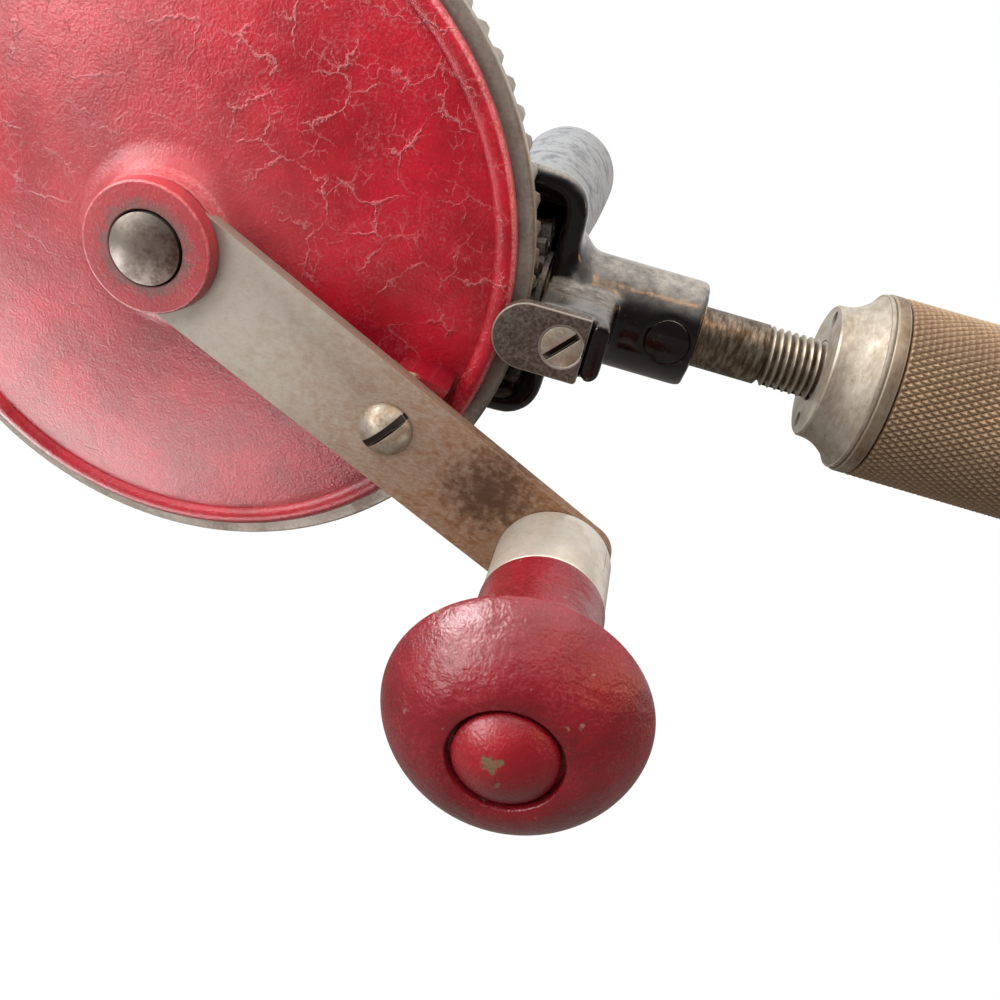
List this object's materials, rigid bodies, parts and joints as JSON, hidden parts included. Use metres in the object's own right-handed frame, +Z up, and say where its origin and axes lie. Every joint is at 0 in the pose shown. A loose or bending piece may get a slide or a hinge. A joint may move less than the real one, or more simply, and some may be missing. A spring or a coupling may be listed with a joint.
{
  "type": "breast drill",
  "caption": "Hand-cranked breast drill: a large domed bevel gear with a crank drives the spindle of a jaw chuck, with a side handle and a curved breast plate.",
  "frame": {"origin": "middle of the breast plate's hollow face, on the spindle's axis", "axes": "+X along the spindle to the chuck, -Y to the crank side, +Z up"},
  "size_m": [0.4308, 0.2501, 0.1332],
  "materials": {
    "red_enamel": "old cracked gloss enamel",
    "black_enamel": "gloss enamel",
    "grey_paint": "worn streaked paint on wood",
    "worn_steel": "worn",
    "brown_steel": "brown patina",
    "bright_steel": "polished",
    "bronze": "oiled"
  },
  "bodies": {
    "frame": {"frame": "black_enamel", "gear_keeper": "brown_steel", "keeper_screw": "worn_steel", "front_bush": "bronze", "rear_bush": "bronze", "nose_plug": "black_enamel", "side_handle": "grey_paint", "handle_stud": "worn_steel", "breast_rod": "worn_steel", "rod_pin": "worn_steel", "breast_plate": "black_enamel", "plate_screw": "worn_steel", "gear_washer": "worn_steel", "thrust_race": "worn_steel"},
    "crank": {"drive_gear": "red_enamel", "gear_axle": "worn_steel", "axle_collar": "worn_steel", "collar_pin": "worn_steel", "crank_arm": "worn_steel", "crank_screw": "worn_steel", "crank_pin": "red_enamel"},
    "knob": {"crank_knob": "red_enamel", "knob_ferrule": "bright_steel"},
    "spindle": {"spindle": "brown_steel", "pinion": "worn_steel", "pinion_pin": "worn_steel", "thrust_cage": "bronze", "thrust_balls": "bright_steel", "chuck_body": "worn_steel", "chuck_collar": "brown_steel"},
    "sleeve": {"chuck_sleeve": "brown_steel", "chuck_nut": "worn_steel"},
    "jaw_1": {"chuck_jaw_1": "worn_steel"},
    "jaw_2": {"chuck_jaw_2": "worn_steel"},
    "jaw_3": {"chuck_jaw_3": "worn_steel"}
  },
  "joints": [
    {"name": "crank_turn", "type": "hinge", "parent": "frame", "child": "crank", "pos_m": [0.21, 0, 0], "axis": [0, 1, 0], "continuous": true},
    {"name": "knob_spin", "type": "hinge", "parent": "crank", "child": "knob", "pos_m": [0.29536, -0.06, -0.03937], "axis": [0, 1, 0], "continuous": true},
    {"name": "spindle_turn", "type": "hinge", "parent": "frame", "child": "spindle", "pos_m": [0.3, 0, 0], "axis": [1, 0, 0], "continuous": true},
    {"name": "sleeve_turn", "type": "hinge", "parent": "spindle", "child": "sleeve", "pos_m": [0.37, 0, 0], "axis": [1, 0, 0], "range_deg": [-1550, 1015]},
    {"name": "jaw_slide_1", "type": "slide", "parent": "spindle", "child": "jaw_1", "axis": [0.9744, 0, 0.225], "range_m": [-0.0055, 0.0036]},
    {"name": "jaw_slide_2", "type": "slide", "parent": "spindle", "child": "jaw_2", "axis": [0.9744, -0.1948, -0.1125], "range_m": [-0.0055, 0.0036]},
    {"name": "jaw_slide_3", "type": "slide", "parent": "spindle", "child": "jaw_3", "axis": [0.9744, 0.1948, -0.1125], "range_m": [-0.0055, 0.0036]}
  ],
  "couplings": [
    {"joint": "spindle_turn", "follows": "crank_turn", "ratio": 4.875},
    {"joint": "jaw_slide_1", "follows": "sleeve_turn", "m_per_rad": 0.00020213},
    {"joint": "jaw_slide_2", "follows": "sleeve_turn", "m_per_rad": 0.00020213},
    {"joint": "jaw_slide_3", "follows": "sleeve_turn", "m_per_rad": 0.00020213}
  ]
}
